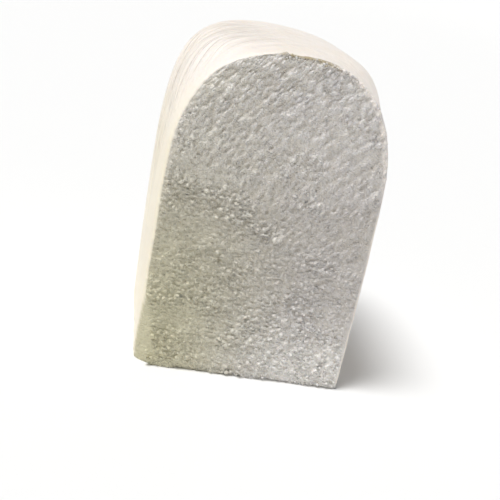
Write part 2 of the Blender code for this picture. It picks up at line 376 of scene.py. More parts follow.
def mounds(x, z):
    """Mounds and grains of curd: the first rise from 0 and the second swing about it, both by about 1.

    Both are drawn out along the knife's path. The fields for the almost level path, where the
    mounds stand in clusters, and for the steep path are eased into each other: their sum is divided
    by the root of the squares of their shares, so that it stands out as far as either alone.
    """
    length, height = GRAIN_SIZE
    larger, smaller = MOUND_MIX
    wander = MOUND_SWAY * MOUND_SIZE * value_noise(z / MOUND_SIZE / 2, x / MOUND_SIZE / 2, 59)
    rough, steep = roughness(x, z), steepness(x, z)
    level = 1 - steep
    courses = zip((LOW_DRAG_ANGLE, DRAG_ANGLE), MOUND_STRETCH, GRAIN_STRETCH, GRAIN_SHARES,
                  (level, steep), (LEVEL_SHARES, STEEP_SHARES))
    blend = 0
    for turn, (angle, drawn, grain_drawn, grain_share, share, (least, more)) in enumerate(courses):
        along, across = turned(x, z, angle)
        across = across + wander
        u, v = along / MOUND_SIZE / drawn, across / MOUND_SIZE
        broad, small = pebbles(u, v, 51 + turn), pebbles(u / SMALL_MOUND, v / SMALL_MOUND, 53 + turn)
        grain = value_noise(along / length / grain_drawn, across / height, 61 + turn)
        field = np.stack([larger * broad + smaller * small, grain * grain_share])
        blend = blend + field * share * (least + more * rough)
    return blend * (1 + TURN_LIFT * steep * level) / np.sqrt(steep**2 + level**2)


def streaks(x, z):
    """The knife's fine streaks, -1 to 1, along its steep path and strongest high on the cut."""
    along, across = turned(x, z, DRAG_ANGLE)
    length, width = STREAK_SIZE
    return value_noise(along / length, across / width, 33) * at_least(STREAK_LEAST, grown(z, *STREAK_RISE))


def cut_relief(x, z):
    """How far the tall cut stands out, and its lift, which sets painted shade in creases and painted
    highlights on grains: about -1 in creases, 1 on grains.
    """
    mound, grain = mounds(x, z)
    pit = pebbles(x / PIT_SPACING, z / PIT_SPACING, 57, PIT_RADII)
    relief = MOUND_DEPTH * mound + GRAIN_DEPTH * grain + STREAK_DEPTH * streaks(x, z) - PIT_DEPTH * pit
    of_mound, of_grain, of_pit = LIFT_SHARES
    return relief, of_mound * mound + of_grain * grain - LIFT_LEVEL - of_pit * pit


# ---- the block's form


def arch():
    """Half width and height of the tall cut's outline, row by row from the lower cut to the crown.

    The flanks stand up with a slight taper, and the crown is a superellipse.
    """
    rise = np.linspace(0.0, 1.0, FLANK_ROWS, endpoint=False)
    turn = np.linspace(0.0, np.pi / 2, CROWN_ROWS)
    flank_width = HALF_THICKNESS - FOOT_TAPER * (1 - rise) ** 2
    crown_width = HALF_THICKNESS * np.maximum(np.cos(turn), 0.0) ** (2 / CROWN_POWER)
    crown_height = SHOULDER + CROWN_DROP * np.sin(turn) ** (2 / CROWN_POWER)
    width = np.concatenate([flank_width, crown_width])
    width[-1] = 0.0
    return width, np.concatenate([rise * SHOULDER, crown_height])


def back_reach(height):
    """How far back the piece reaches at each height: straight up, then round the block's corner."""
    above = np.clip((height - (HEIGHT - CORNER_RADIUS)) / CORNER_RADIUS, 0.0, 1.0)
    return DEPTH - CORNER_RADIUS * (1 - np.sqrt(1 - above**2))


def ring():
    """The rows' unit outline seen from above, and how far along it each point is from the nearer end.

    It runs from the left front to the right front as a superellipse, |x|^2 + |y|^END_POWER = 1. The
    steps are shortest at the lips beside the tall cut, short along the pleated flank, and alike on
    both sides.
    """
    turn = np.linspace(0.0, np.pi, RING_SAMPLES)
    x = -np.cos(turn)
    y = np.sin(turn) ** (2 / END_POWER)
    y[-1] = 0.0
    step = np.hypot(np.diff(x) * HALF_THICKNESS, np.diff(y) * DEPTH)
    walked = np.concatenate([[0.0], np.cumsum(step)])
    length = walked[-1]
    lip = np.linspace(0.0, LIP_DEPTH, LIP_COLUMNS, endpoint=False)
    flank = np.linspace(LIP_DEPTH, PLEAT_STRETCH, PLEAT_COLUMNS, endpoint=False)
    back = np.linspace(PLEAT_STRETCH, length / 2, BACK_COLUMNS)
    half = np.concatenate([lip, flank, back])
    stops = np.concatenate([half, (length - half)[-2::-1]])
    return np.interp(stops, walked, x), np.interp(stops, walked, y), np.minimum(stops, length - stops)


def arch_normals(width, height):
    """Outward direction of the arch at each row, on its right side."""
    across, up = np.gradient(width), np.gradient(height)
    up[-1] = 0.0  # the crown faces straight up, so that both sides meet there
    length = np.hypot(across, up)
    return up / length, -across / length


def pleats(x, y, z):
    """Cloth pleats, from 0 to 1: grooves as the solid has them, their sharp bottoms, and where they lie.

    They climb backwards over the left shoulder with uneven strength and length. A groove is
    (1 + cos) / 2 of its course, raised to one of PLEAT_POWERS.
    """
    course = (y - PLEAT_SLANT[0] * x - PLEAT_SLANT[1] * z) / PLEAT_PITCH
    wander = PLEAT_SWAY * value_noise(y / PLEAT_WANDER, z / PLEAT_WANDER, 12)
    wave = (1 + np.cos(2 * np.pi * (course + wander))) / 2
    across, along = PLEAT_CHANGE
    mean, swing = PLEAT_STRENGTH
    strength = np.clip(mean + swing * value_noise(course / across, (x + z) / along, 15), 0, 1)
    floor = PLEAT_FLOOR + PLEAT_FADE / 2 * value_noise(course / across, 0 * z, 16)
    patch = np.clip((PLEAT_TOP - x) / PLEAT_FADE, 0, 1) * np.clip((z - floor) / PLEAT_FADE, 0, 1)
    broad, sharp = (wave**power * strength * patch for power in PLEAT_POWERS)
    return broad, sharp, patch


def tear_foot(x, y, height):
    """Draws the foot in unevenly over the torn band, so that the lower edge looks torn."""
    mean, swing = UNDERCUT_SHARES
    ragged = mean + swing * value_noise(x / UNDERCUT_GRAIN, y / UNDERCUT_GRAIN, 21)
    fine, size = UNDERCUT_FINE
    ragged = ragged + fine * value_noise(x / size, y / size, 22)
    draw = UNDERCUT * ragged * np.clip(1 - height / TORN_BAND, 0, 1)
    middle_y = DEPTH / 2
    reach = np.hypot(x, y - middle_y) + 1e-9
    return x - draw * x / reach, y - draw * (y - middle_y) / reach


def torn_rim(x, z):
    """Share of torn rim, which runs from the crown's middle down its right side."""
    return grown(x, *RIM_FROM) * grown(z, *RIM_ABOVE)


def skin_layer(settings):
    """The skin as rows by columns: points, the numbers cut, rim, lift and pleated, and the weave's place.

    Cut, rim and pleated are the shares of cut curd, torn rim and pleats. The lift sets the painted
    shade of the pleats and creases, where it is negative.

    A row is the unit ring times the arch's half width and the back's reach. Along the arch's
    outward direction come the bulges behind the cut, the swell, the pleats and the lip's roll.
    """
    width, height = arch()
    unit_x, unit_y, walked = ring()
    x = width[:, None] * unit_x
    y = back_reach(height)[:, None] * unit_y
    z = height[:, None] + 0 * x
    out_x, out_z = arch_normals(width, height)
    out_x, out_z = out_x[:, None], out_z[:, None]
    side = np.sign(unit_x)
    rise = height[:, None]

    roll = np.clip(1 - y / LIP_DEPTH, 0.0, 1.0)
    torn = torn_rim(x, z)
    rim_crumbs = pebbles((x + y) / RIM_CRUMB_SIZE, (z - y) / RIM_CRUMB_SIZE, 14) * torn
    inset = LIP_INSET * (1 - np.sqrt(1 - roll**2)) - RIM_CRUMB_DEPTH * rim_crumbs * roll**2
    ragged = LIP_RAGGED * at_least(LIP_RAGGED_LEAST, torn)
    inset += ragged * value_noise(x / LIP_GRAIN, z / LIP_GRAIN, 13) * roll
    inset *= np.clip(rise / TORN_BAND, 0.0, 1.0)
    x -= inset * out_x * side
    z -= inset * out_z

    hump = eased(y / BULGE_REACH) * np.clip(rise / SHOULDER, 0.0, 1.0)
    shoulder = SHOULDER_BULGE * (2 * out_x * out_z) ** 2
    x += (BULGE + shoulder) * hump * out_x * side
    z += (BULGE + shoulder + CROWN_RISE) * hump * out_z

    swell = SWELL_DEPTH * value_noise(y / SWELL_SIZE + side, z / SWELL_SIZE, 11)
    course = (y - FAINT_CREASE_SLANT * z * side) / FAINT_CREASE_PITCH
    faint = crease_lines(course, (z + y) / FAINT_CREASE_LENGTH, 17)
    faint *= eased(value_noise(y / FAINT_CREASE_PATCH, z / FAINT_CREASE_PATCH, 18) * 2)
    plain = swell - settings.pleat_depth * FAINT_CREASE_SHARE * faint
    plain *= np.clip(width / CROWN_FADE, 0, 1)[:, None]
    broad, sharp, patch = pleats(x, y, z)
    of_broad, of_sharp = PLEAT_SHARES
    pleat = settings.pleat_depth * (of_broad * broad + of_sharp * sharp)
    behind_lip = np.clip((y - LIP_DEPTH) / SWELL_FADE, 0, 1)
    before_back = np.clip((1 - unit_y) / BACK_FADE, 0, 1)
    relief = (plain - pleat) * behind_lip * before_back
    x += relief * out_x * side
    z += relief * out_z * np.clip(rise / SWELL_FADE, 0, 1)
    y += SWELL_DEPTH * value_noise(x / SWELL_SIZE, z / SWELL_SIZE, 17) * unit_y**BACK_POWER

    fall = np.clip(1 - rise / CHIP_HEIGHT, 0, 1)
    chip = fall * CHIP_WIDTH * np.clip(1 - y / np.maximum(fall * CHIP_DEPTH, 1e-6), 0, 1)
    chip = np.where(side < 0, chip, 0.0)
    chipped = eased(chip / CHIP_EDGE)
    depth, size = CHIP_CRUMB
    x += chip + chipped * depth * pebbles(y / size, z / size, 31)
    y += crumb(x, z) * roll**2
    x, y = tear_foot(x, y, rise)

    share, softness = FOOT_BARE
    at_foot = eased((TORN_BAND * share - rise) / softness)
    bare, softness = LIP_BARE
    reach, swing, size = RIM_EDGE
    bare = bare - reach * torn - swing * torn * value_noise((x + 2 * y) / size, z / size, 41)
    at_lip = eased((roll - bare) / softness)
    cut = np.maximum(np.maximum(at_lip, at_foot), chipped)
    of_broad, of_sharp = PLEAT_LIFTS
    lift = -(of_broad * broad + of_sharp * sharp) * behind_lip * before_back - FAINT_CREASE_LIFT * faint
    pleated = patch * behind_lip * before_back
    arc = np.concatenate([[0.0], np.cumsum(np.hypot(np.diff(width), np.diff(height)))])
    weave = np.stack([walked + 0 * x, arc[:, None] + 0 * x], -1)
    return np.stack([x, y, z], -1), cut, roll * torn, lift, pleated, weave


def from_edge(inward, x, z):
    """Distance from the tall cut's edge.

    With the distance a to the edge beside and b to the edge above it is a b / root(a^2 + b^2), the
    height of the right-angled triangle between them.
    """
    flat = np.clip(np.abs(x) / HALF_THICKNESS, 0.0, 1.0) ** CROWN_POWER
    above = np.maximum(SHOULDER + CROWN_DROP * (1 - flat) ** (1 / CROWN_POWER) - z, 0.0)
    return inward * above / np.maximum(np.hypot(inward, above), 1e-9)


def face_layer(left, right):
    """The tall cut as rows by columns between the two ends of each skin row, with what skin_layer gives."""
    share = np.linspace(0.0, 1.0, FACE_COLUMNS)
    x, y, z = (left[:, None, i] * (1 - share) + right[:, None, i] * share for i in range(3))
    inward = np.minimum(share, 1 - share) * (right[:, 0] - left[:, 0])[:, None]
    distance = from_edge(inward, x, z)
    relief, lift = cut_relief(x, z)
    relief *= at_least(FINE_LEAST, eased(distance / FINE_FADE)) * np.sign(inward)
    y += crumb(x, z) - relief
    x, y = tear_foot(x, y, z)
    rim = np.clip(1 - distance / RIM_BAND, 0, 1) * torn_rim(x, z)
    lift *= at_least(FOOT_LIFT_LEAST, np.clip(z / TORN_BAND, 0, 1))
    all_cut, no_pleats = np.ones_like(x), np.zeros_like(x)
    return np.stack([x, y, z], -1), all_cut, rim, lift, no_pleats, np.stack([x, z], -1)


def foot_rings(edge):
    """The lower cut: the foot's outline drawn in ring by ring to its middle, slightly hollow and uneven."""
    share = np.linspace(1.0, 0.0, FOOT_RINGS + 1)[1:, None]
    x = edge[:, 0] * share
    y = DEPTH / 2 + (edge[:, 1] - DEPTH / 2) * share
    uneven = 0.5 + 0.5 * value_noise(x / FOOT_GRAIN, y / FOOT_GRAIN, 61)
    return np.stack([x, y, FOOT_HOLLOW * uneven * (1 - share**4)], -1)


def block_surface(settings):
    """Skin, tall cut and lower cut as one closed grid.

    Every row runs round the piece, and the first rows lie underneath. The numbers beside the points
    are those of skin_layer.
    """
    skin = skin_layer(settings)
    face = face_layer(skin[0][:, 0], skin[0][:, -1])
    joined = [np.concatenate([s, f[:, ::-1][:, 1:-1]], axis=1) for s, f in zip(skin, face)]
    points, cut, rim, lift, pleated, weave = joined
    points[0, :, 2] = 0.0
    foot = foot_rings(points[0])[::-1]
    points = np.concatenate([foot, points])
    under = np.zeros(foot.shape[:2])
    shares = [np.concatenate([under, layer]) for layer in (rim, lift, pleated)]
    return points, [np.concatenate([under + 1, cut]), *shares], np.concatenate([foot[..., :2], weave])


def grid_quads(rows, around):
    """Quads of a grid whose rows each close into a loop."""
    index = np.arange(rows * around).reshape(rows, around)
    low, high = index[:-1], index[1:]
    return np.stack([low, high, np.roll(high, -1, 1), np.roll(low, -1, 1)], -1).reshape(-1, 4)


# ---- meshes


def give_uv(mesh, places):
    """Gives the mesh a UV map from one place per point."""
    corners = np.empty(len(mesh.loops), int)
    mesh.loops.foreach_get("vertex_index", corners)
    layer = mesh.uv_layers.new(name="weave")
    layer.data.foreach_set("uv", places[corners].astype(np.float32).ravel())


def give_shares(mesh, **shares):
    """Stores one number per point under each name, for the materials to read."""
    for name, values in shares.items():
        layer = mesh.attributes.new(name, "FLOAT", "POINT")
        layer.data.foreach_set("value", np.asarray(values, np.float32).ravel())


def grid_mesh(name, points):
    """A mesh over a grid of points whose rows each close into a loop."""
    mesh = bpy.data.meshes.new(name)
    mesh.from_pydata(points.reshape(-1, 3), [], grid_quads(*points.shape[:2]).tolist())
    return mesh


def linked(name, data):
    """A new object in the scene."""
    made = bpy.data.objects.new(name, data)
    bpy.context.scene.collection.objects.link(made)
    return made


def show(name, mesh, material):
    """Links a finished mesh as a smooth-shaded piece that rides on the part's one body."""
    mesh.materials.append(material)
    mesh.shade_smooth()
    piece = linked(name, mesh)
    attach(piece, "root")
    return piece


# ---- materials


def add(tree, kind, inputs=None, **settings):
    """Adds a node, sets its settings, and fills or links its inputs by name or number."""
    made = tree.nodes.new("ShaderNode" + kind)
    for name, value in settings.items():
        setattr(made, name, value)
    for socket, value in (inputs or {}).items():
        if isinstance(value, bpy.types.NodeSocket):
            tree.links.new(value, made.inputs[socket])
        else:
            made.inputs[socket].default_value = value
    return made


def reckon(tree, operation, first, second=0.0, third=0.0):
    """One Math node's result."""
    return add(tree, "Math", {0: first, 1: second, 2: third}, operation=operation).outputs[0]


def tint(tree, share, low, high):
    """Mixes two colours by a share."""
    return add(tree, "Mix", {0: share, 6: low, 7: high}, data_type="RGBA").outputs[2]


def spread(tree, value, low, high):
    """Stretches a value so that low becomes 0 and high becomes 1, eased and clamped."""
    inputs = {"Value": value, "From Min": low, "From Max": high}
    return add(tree, "MapRange", inputs, interpolation_type="SMOOTHSTEP").outputs[0]


def noise(tree, place, per_metre, detail=3.0, roughness=0.55):
    """Noise whose features are 1 / per_metre metres wide."""
    inputs = {"Vector": place, "Scale": per_metre, "Detail": detail, "Roughness": roughness}
    return add(tree, "TexNoise", inputs).outputs[0]


def patches(tree, place, per_metre, detail, low, high):
    """Soft-edged patches, 0 to 1, where a noise rises from low to high."""
    return spread(tree, noise(tree, place, per_metre, detail), low, high)


def times(tree, first, second):
    """The product of two numbers."""
    return reckon(tree, "MULTIPLY", first, second)


def lumps(tree, place, per_metre):
    """Distance to the nearest of random points, which are 1 / per_metre metres apart."""
    return add(tree, "TexVoronoi", {"Vector": place, "Scale": per_metre}).outputs["Distance"]


def distance_along(tree, place, direction):
    """The place's dot product with a direction."""
    return add(tree, "VectorMath", {0: place, 1: direction}, operation="DOT_PRODUCT").outputs["Value"]


def share_of(tree, name):
    """A number that the mesh stores per point."""
    return add(tree, "Attribute", attribute_name=name).outputs["Fac"]


def bump(tree, height, distance, before=None):
    """Turns a height into a normal, on top of an earlier one."""
    inputs = {"Height": height, "Strength": 1.0, "Distance": distance}
    if before is not None:
        inputs["Normal"] = before
    return add(tree, "Bump", inputs).outputs[0]


def rgba(colour):
    """A colour with full opacity."""
    return (*colour, 1.0)


def new_material(name):
    """An empty material with its Principled shader."""
    material = bpy.data.materials.new(name)
    material.use_nodes = True
    return material, material.node_tree, material.node_tree.nodes["Principled BSDF"]


def cut_colour(tree, place, lift, settings):
    """Colour of cut curd.

    It is mottled and paler low on the right. Painted shade greys it lower down and darkens and warms
    the creases, painted highlights make the grains paler, and painted yellow reflected light lies low
    on the left.
    """
    # the cut's own colour, set greyer and darker than the skin's, partly as painted shade
    curd, pale_curd = rgba(settings.cut_and_shade_color), rgba(settings.cut_pale_color)
    x, _, z = add(tree, "SeparateXYZ", {0: place}).outputs
    mottle = patches(tree, place, *MOTTLE)
    colour = tint(tree, times(tree, mottle, MOTTLE_SHARE), curd, pale_curd)

    # painted shade: greys the cut's middle and, less, its foot, where less light reaches
    share, added = MID_SHADE_SHARES
    share = reckon(tree, "MULTIPLY_ADD", spread(tree, z, *LOWER_HEIGHTS), added, share)
    mid_shade = times(tree, spread(tree, z, *MID_SHADE_HEIGHTS), share)
    colour = tint(tree, mid_shade, colour, rgba(settings.mid_shade_color))

    # painted shade: darkens and warms the creases between grains, where less light reaches
    crease = times(tree, spread(tree, lift, *CREASE_SHADE_LEVELS), CUT_CREASE_SHADE_SHARE)
    colour = tint(tree, crease, colour, rgba(settings.crease_shade_color))
    # painted highlight: paler tops of the grains, which catch the light from above
    raised = times(tree, spread(tree, lift, *RAISED_HIGHLIGHT_LEVELS), RAISED_HIGHLIGHT_SHARE)
    colour = tint(tree, raised, colour, pale_curd)

    # painted reflection: yellow light thrown onto the cut low on the left
    share, added = YELLOW_BOUNCE_SHARES
    share = reckon(tree, "MULTIPLY_ADD", spread(tree, z, *YELLOW_BOUNCE_HEIGHTS), added, share)
    yellow_bounce = times(tree, spread(tree, x, *YELLOW_BOUNCE_PLACES), share)
    colour = tint(tree, yellow_bounce, colour, rgba(settings.yellow_bounce_color))

    pale = times(tree, spread(tree, z, *PALE_FOOT_HEIGHTS), spread(tree, x, *PALE_FOOT_PLACES))
    return tint(tree, times(tree, pale, PALE_FOOT_SHARE), colour, pale_curd)


def creases(tree, place):
    """Fine cloth creases, 0 to 1, which follow the pleats' slanting course and wander a little."""
    back, up = PLEAT_SLANT
    width, length = CREASE_SIZE
    sway, often = CREASE_WANDER
    course = distance_along(tree, place, (-back, 1.0, -up))
    wander = reckon(tree, "MULTIPLY_ADD", noise(tree, place, often, 1.0), sway, course)
    across = reckon(tree, "DIVIDE", wander, width)
    along = reckon(tree, "DIVIDE", distance_along(tree, place, (1.0, 0.0, 1.0)), length)
    bent = add(tree, "CombineXYZ", {0: across, 1: along})
    level = reckon(tree, "ABSOLUTE", reckon(tree, "SUBTRACT", noise(tree, bent.outputs[0], 1.0, 1.0), 0.5))
    return times(tree, spread(tree, level, CREASE_LEVEL, 0.0), share_of(tree, "pleated"))


def skin_colour(tree, place, lift, crease, settings):
    """Colour of the pressed skin.

    It is milk white and faintly blotched, with a few specks. Painted yellow reflected light lies low
    on the left flank, and painted shade darkens the creases and the pleats.
    """
    x, _, z = add(tree, "SeparateXYZ", {0: place}).outputs
    blotch = patches(tree, place, *BLOTCHES)
    colour = tint(tree, blotch, rgba(settings.skin_color), rgba(settings.skin_warm_color))

    # painted reflection: yellow light thrown onto the skin low on the left flank
    flank = times(tree, spread(tree, z, *FLANK_BOUNCE_HEIGHTS), spread(tree, x, *FLANK_BOUNCE_PLACES))
    colour = tint(tree, times(tree, flank, FLANK_BOUNCE_SHARE), colour, rgba(settings.flank_bounce_color))

    # painted shade: darkens the skin's creases and pleat grooves, where less light reaches
    pleat = rgba(settings.pleat_shade_color)
    colour = tint(tree, times(tree, crease, SKIN_CREASE_SHADE_SHARE), colour, pleat)
    groove = spread(tree, lift, *GROOVE_SHADE_LEVELS)
    colour = tint(tree, times(tree, groove, GROOVE_SHADE_SHARE), colour, pleat)

    per_metre, empty = SPECKS
    spots = add(tree, "TexVoronoi", {"Vector": place, "Scale": per_metre})
    near = spread(tree, spots.outputs["Distance"], *SPECK_EDGE)
    rare = reckon(tree, "GREATER_THAN", spots.outputs["Color"], empty)
    return tint(tree, times(tree, near, rare), colour, rgba(settings.speck_color))


def rim_colour(tree, place, cut, rim, colour, settings):
    """Adds the crown's torn rim: skin in pale shreds on its right, then a brown dried crust."""
    x = add(tree, "SeparateXYZ", {0: place}).outputs["X"]
    pale = times(tree, spread(tree, rim, *PALE_RIM_LEVELS), spread(tree, x, *PALE_RIM_PLACES))
    pale = times(tree, pale, patches(tree, place, *RIM_PATCHES))
    colour = tint(tree, pale, colour, rgba(settings.skin_color))

    right, left = BROWN_RIM_PLACES
    crown_side = times(tree, spread(tree, x, *right), spread(tree, x, *left))
    brown = times(tree, spread(tree, rim, *BROWN_RIM_LEVELS), crown_side)
    brown = times(tree, times(tree, brown, patches(tree, place, *CRUST)), cut)
    return tint(tree, brown, colour, rgba(settings.rim_color))


def skin_bumps(tree, place, crease, settings):
    """Normal of the pressed skin: waves, creases, the press cloth's weave, pinholes and fine grain."""
    thread = add(tree, "SeparateXYZ", {0: add(tree, "UVMap", uv_map="weave").outputs[0]})
    turns = 2 * np.pi / settings.weave_pitch
    warp = reckon(tree, "SINE", times(tree, thread.outputs["X"], turns))
    weft = reckon(tree, "SINE", times(tree, thread.outputs["Y"], turns))
    weave = times(tree, times(tree, warp, weft), patches(tree, place, *WEAVE_PATCHES))
    per_metre, radius = PINHOLES
    pits = reckon(tree, "MINIMUM", lumps(tree, place, per_metre), radius)
    pits = times(tree, pits, patches(tree, place, *PINHOLE_PATCHES))

    normal = bump(tree, noise(tree, place, *SKIN_WAVES), SKIN_WAVE_HEIGHT)
    normal = bump(tree, crease, -CREASE_DEPTH, normal)
    normal = bump(tree, weave, WEAVE_HEIGHT, normal)
    normal = bump(tree, pits, PINHOLE_DEPTH, normal)
    return bump(tree, noise(tree, place, *SKIN_GRAIN), SKIN_GRAIN_HEIGHT, normal)


def cut_bumps(tree, place):
    """Normal of the cut curd: soft grain, and small round grains with creases between."""
    of_grain, of_lumps = CUT_GRAIN_HEIGHTS
    normal = bump(tree, noise(tree, place, *CUT_GRAIN), of_grain)
    return bump(tree, lumps(tree, place, CUT_GRAINS), of_lumps, normal)


def paneer_material(settings):
    """Pressed curd: a smooth skin with a faint cloth weave, and crumbly grain wherever it is cut."""
    material, tree, shader = new_material("pressed_curd")
    place = add(tree, "TexCoord").outputs["Object"]
    cut, rim, lift = (share_of(tree, name) for name in ("cut", "rim", "lift"))

    crease = creases(tree, place)
    skin = skin_colour(tree, place, lift, crease, settings)
    colour = tint(tree, cut, skin, cut_colour(tree, place, lift, settings))
    colour = rim_colour(tree, place, cut, rim, colour, settings)
    tree.links.new(colour, shader.inputs["Base Color"])

    skin_shine, cut_shine = (
        reckon(tree, "MULTIPLY_ADD", noise(tree, place, per_metre), swing, least)
        for per_metre, swing, least in (SKIN_SHINE, CUT_SHINE)
    )
    rough = add(tree, "Mix", {0: cut, 2: skin_shine, 3: cut_shine}, data_type="FLOAT").outputs[0]
    tree.links.new(rough, shader.inputs["Roughness"])

    skin_normal, cut_normal = skin_bumps(tree, place, crease, settings), cut_bumps(tree, place)
    normal = add(tree, "Mix", {0: cut, 4: skin_normal, 5: cut_normal}, data_type="VECTOR").outputs[1]
    tree.links.new(normal, shader.inputs["Normal"])

    shader.inputs["Subsurface Weight"].default_value = 0.12
    shader.inputs["Subsurface Radius"].default_value = (1.0, 0.78, 0.52)
    shader.inputs["Subsurface Scale"].default_value = 0.002
    shader.inputs["Specular IOR Level"].default_value = 0.45
    return material


def floor_material(colour):
    """A plain matt pale floor."""
    material, _, shader = new_material("pale_floor")
    shader.inputs["Base Color"].default_value = rgba(colour)
    shader.inputs["Roughness"].default_value = 0.9
    shader.inputs["Specular IOR Level"].default_value = 0.1
    return material


# ---- settings


def colour_property(name, description, default):
    """A linear colour that a user may change."""
    return FloatVectorProperty(name=name, description=description, default=default,
                               subtype="COLOR", size=3, min=0.0, max=1.0)


def length_property(name, description, default):
    """A length in metres that a user may change."""
    return FloatProperty(name=name, description=description, default=default, min=0.0,
                         precision=5, unit="LENGTH", subtype="DISTANCE")


class PaneerBlockSettings(bpy.types.PropertyGroup):
    """Fine sizes and colours of the cut piece."""

    pleat_depth: length_property("Pleat depth", "Relief of the cloth pleats", 0.0012)
    weave_pitch: length_property("Weave pitch", "Spacing of the press cloth's threads", 0.0009)
    skin_color: colour_property("Skin", "Pressed skin", (0.95, 0.88, 0.82))
    skin_warm_color: colour_property("Warm skin", "Warmer blotches of the skin", (0.94, 0.86, 0.77))
    # painted reflection: yellow light thrown onto the left flank
    flank_bounce_color: colour_property("Left flank", "Yellower skin low on the left", (0.91, 0.83, 0.60))
    # painted shade for the bottoms of the skin's pleats and creases
    pleat_shade_color: colour_property("Pleats", "Bottoms of the pleats", (0.70, 0.635, 0.56))
    speck_color: colour_property("Specks", "Rare dark specks in the skin", (0.16, 0.12, 0.08))
    # partly painted shade: the cut curd's own colour, set greyer and darker than the skin to darken the cut
    cut_and_shade_color: colour_property("Cut", "Cut curd", (0.735, 0.705, 0.695))
    cut_pale_color: colour_property("Pale cut", "Paler patches of cut curd", (0.92, 0.89, 0.84))
    # painted shade: the grey that darkens the cut's middle and foot
    mid_shade_color: colour_property("Dull cut", "Greyer curd of the middle and the foot", (0.555, 0.52, 0.49))
    # painted shade for the creases between the cut's grains
    crease_shade_color: colour_property("Creases", "Creases between grains", (0.60, 0.55, 0.48))
    # painted reflection: yellow light thrown onto the cut low on the left
    yellow_bounce_color: colour_property("Whey tint", "Yellower curd low on the left", (0.61, 0.575, 0.39))
    rim_color: colour_property("Rim", "Dried crumbly rim of the crown", (0.45, 0.375, 0.235))


class PaneerCrumbSettings(bpy.types.PropertyGroup):
    """How many crumbs cling to the piece, and how large they are."""

    amount: IntProperty(name="Amount", description="Number of clinging crumbs", default=100, min=1)
    rim_amount: IntProperty(name="Rim amount", description="Number along the crown's rim",
                            default=60, min=1)
    smallest: length_property("Smallest", "Width of the smallest crumb", 0.0007)
    largest: length_property("Largest", "Width of the largest crumb", 0.0028)


class PaneerStageSettings(bpy.types.PropertyGroup):
    """Floor, light and camera."""

    floor_size: length_property("Floor size", "Width of the round floor", 16.0)
    floor_color: colour_property("Floor", "Colour of the floor", (0.90, 0.90, 0.895))
    sun_strength: FloatProperty(name="Sun", description="Strength of the soft overhead light", default=2.75)
    sun_angle: FloatProperty(name="Softness", description="Angular width of the overhead light",
                             default=np.radians(22), subtype="ANGLE")
    sky_strength: FloatProperty(name="Sky", description="Strength of the light from all round",
                                default=0.26)
    lens: FloatProperty(name="Lens", description="Focal length of the camera in millimetres", default=79.9)
    roll: FloatProperty(name="Roll", description="Tilt of the camera about its own axis",
                        default=np.radians(11.3), subtype="ANGLE")


# ---- operators


class PANEER_OT_block(bpy.types.Operator):
    """Builds the cut piece as one closed surface over its solid"""

    bl_idname = "paneer.block"
    bl_label = "Build the cut piece"

    def execute(self, context):
        settings = context.scene.paneer_block
        points, (cut, rim, lift, pleated), weave = block_surface(settings)
        mesh = grid_mesh("cut_piece", points)
        give_uv(mesh, weave.reshape(-1, 2))
        give_shares(mesh, cut=cut, rim=rim, lift=lift, pleated=pleated)
        work = bmesh.new()
        work.from_mesh(mesh)
        bmesh.ops.remove_doubles(work, verts=work.verts, dist=MERGE)
        bmesh.ops.dissolve_degenerate(work, edges=work.edges, dist=MERGE / 4)
        bmesh.ops.recalc_face_normals(work, faces=work.faces)
        if any(len(edge.link_faces) != 2 for edge in work.edges):
            raise RuntimeError("the cut piece isn't one closed surface")
        work.to_mesh(mesh)
        work.free()
        mesh.transform(Matrix.Translation((0.0, LOW.y + FRONT_ROOM, 0.0)))
        piece = show("cut_piece", mesh, paneer_material(settings))
        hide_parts("paneer")
        return {"FINISHED"}


def lump_shape():
    """A unit lump's points and faces: rings of corners between two poles, closed at both ends."""
    ring_count, around = CRUMB_GRID
    tilt = np.pi * np.arange(1, ring_count + 1)[:, None] / (ring_count + 1)
    turn = 2 * np.pi * np.arange(around) / around
    sine, cosine = np.sin(tilt), np.cos(tilt) + 0 * turn
    rings = np.stack([sine * np.cos(turn), sine * np.sin(turn), cosine], -1)
    points = np.concatenate([rings.reshape(-1, 3), [[0, 0, 1]], [[0, 0, -1]]])
    top, bottom = ring_count * around, ring_count * around + 1
    faces = grid_quads(ring_count, around).tolist()
    for i in range(around):
        after = (i + 1) % around
        faces.append([top, i, after])
        faces.append([bottom, top - around + after, top - around + i])
    return points, faces


def lumps_on_cut(name, centres, halves, angles, rims, rng, material):
    """Many closed lumps as one mesh.

    Each has its centre, its half sizes along, out of and across the tall cut, and the angle of its
    long axis on the cut.
    """
    shape, faces = lump_shape()
    count = len(centres)
    uneven = rng.uniform(-CRUMB_UNEVEN, CRUMB_UNEVEN, (count, len(shape), 1))
    shapes = shape * (1 + uneven) * halves[:, None]
    cosine, sine = np.cos(angles)[:, None], np.sin(angles)[:, None]
    x = shapes[..., 0] * cosine - shapes[..., 2] * sine + centres[:, None, 0]
    z = shapes[..., 0] * sine + shapes[..., 2] * cosine + centres[:, None, 2]
    y = shapes[..., 1] + centres[:, None, 1]
    y, z = np.maximum(y, LOW.y - CRUMB_ROOM), np.maximum(z, CRUMB_FLOOR)
    points = np.stack([x, y, z], -1).reshape(-1, 3)
    starts = (np.arange(count) * len(shape)).tolist()
    mesh = bpy.data.meshes.new(name)
    all_faces = [[start + corner for corner in face] for start in starts for face in faces]
    mesh.from_pydata(points, [], all_faces)
    give_uv(mesh, points[:, ::2])
    ones = np.ones(len(points))
    rims = np.repeat(rims, len(shape))
    give_shares(mesh, cut=ones, rim=rims, lift=CRUMB_LIFT * ones, pleated=0 * ones)
    return show(name, mesh, material)


def cut_places(x, z):
    """Points on the tall cut's own surface."""
    relief, _ = cut_relief(x, z)
    return np.stack([x, LOW.y + FRONT_ROOM + crumb(x, z) - relief, z], -1)


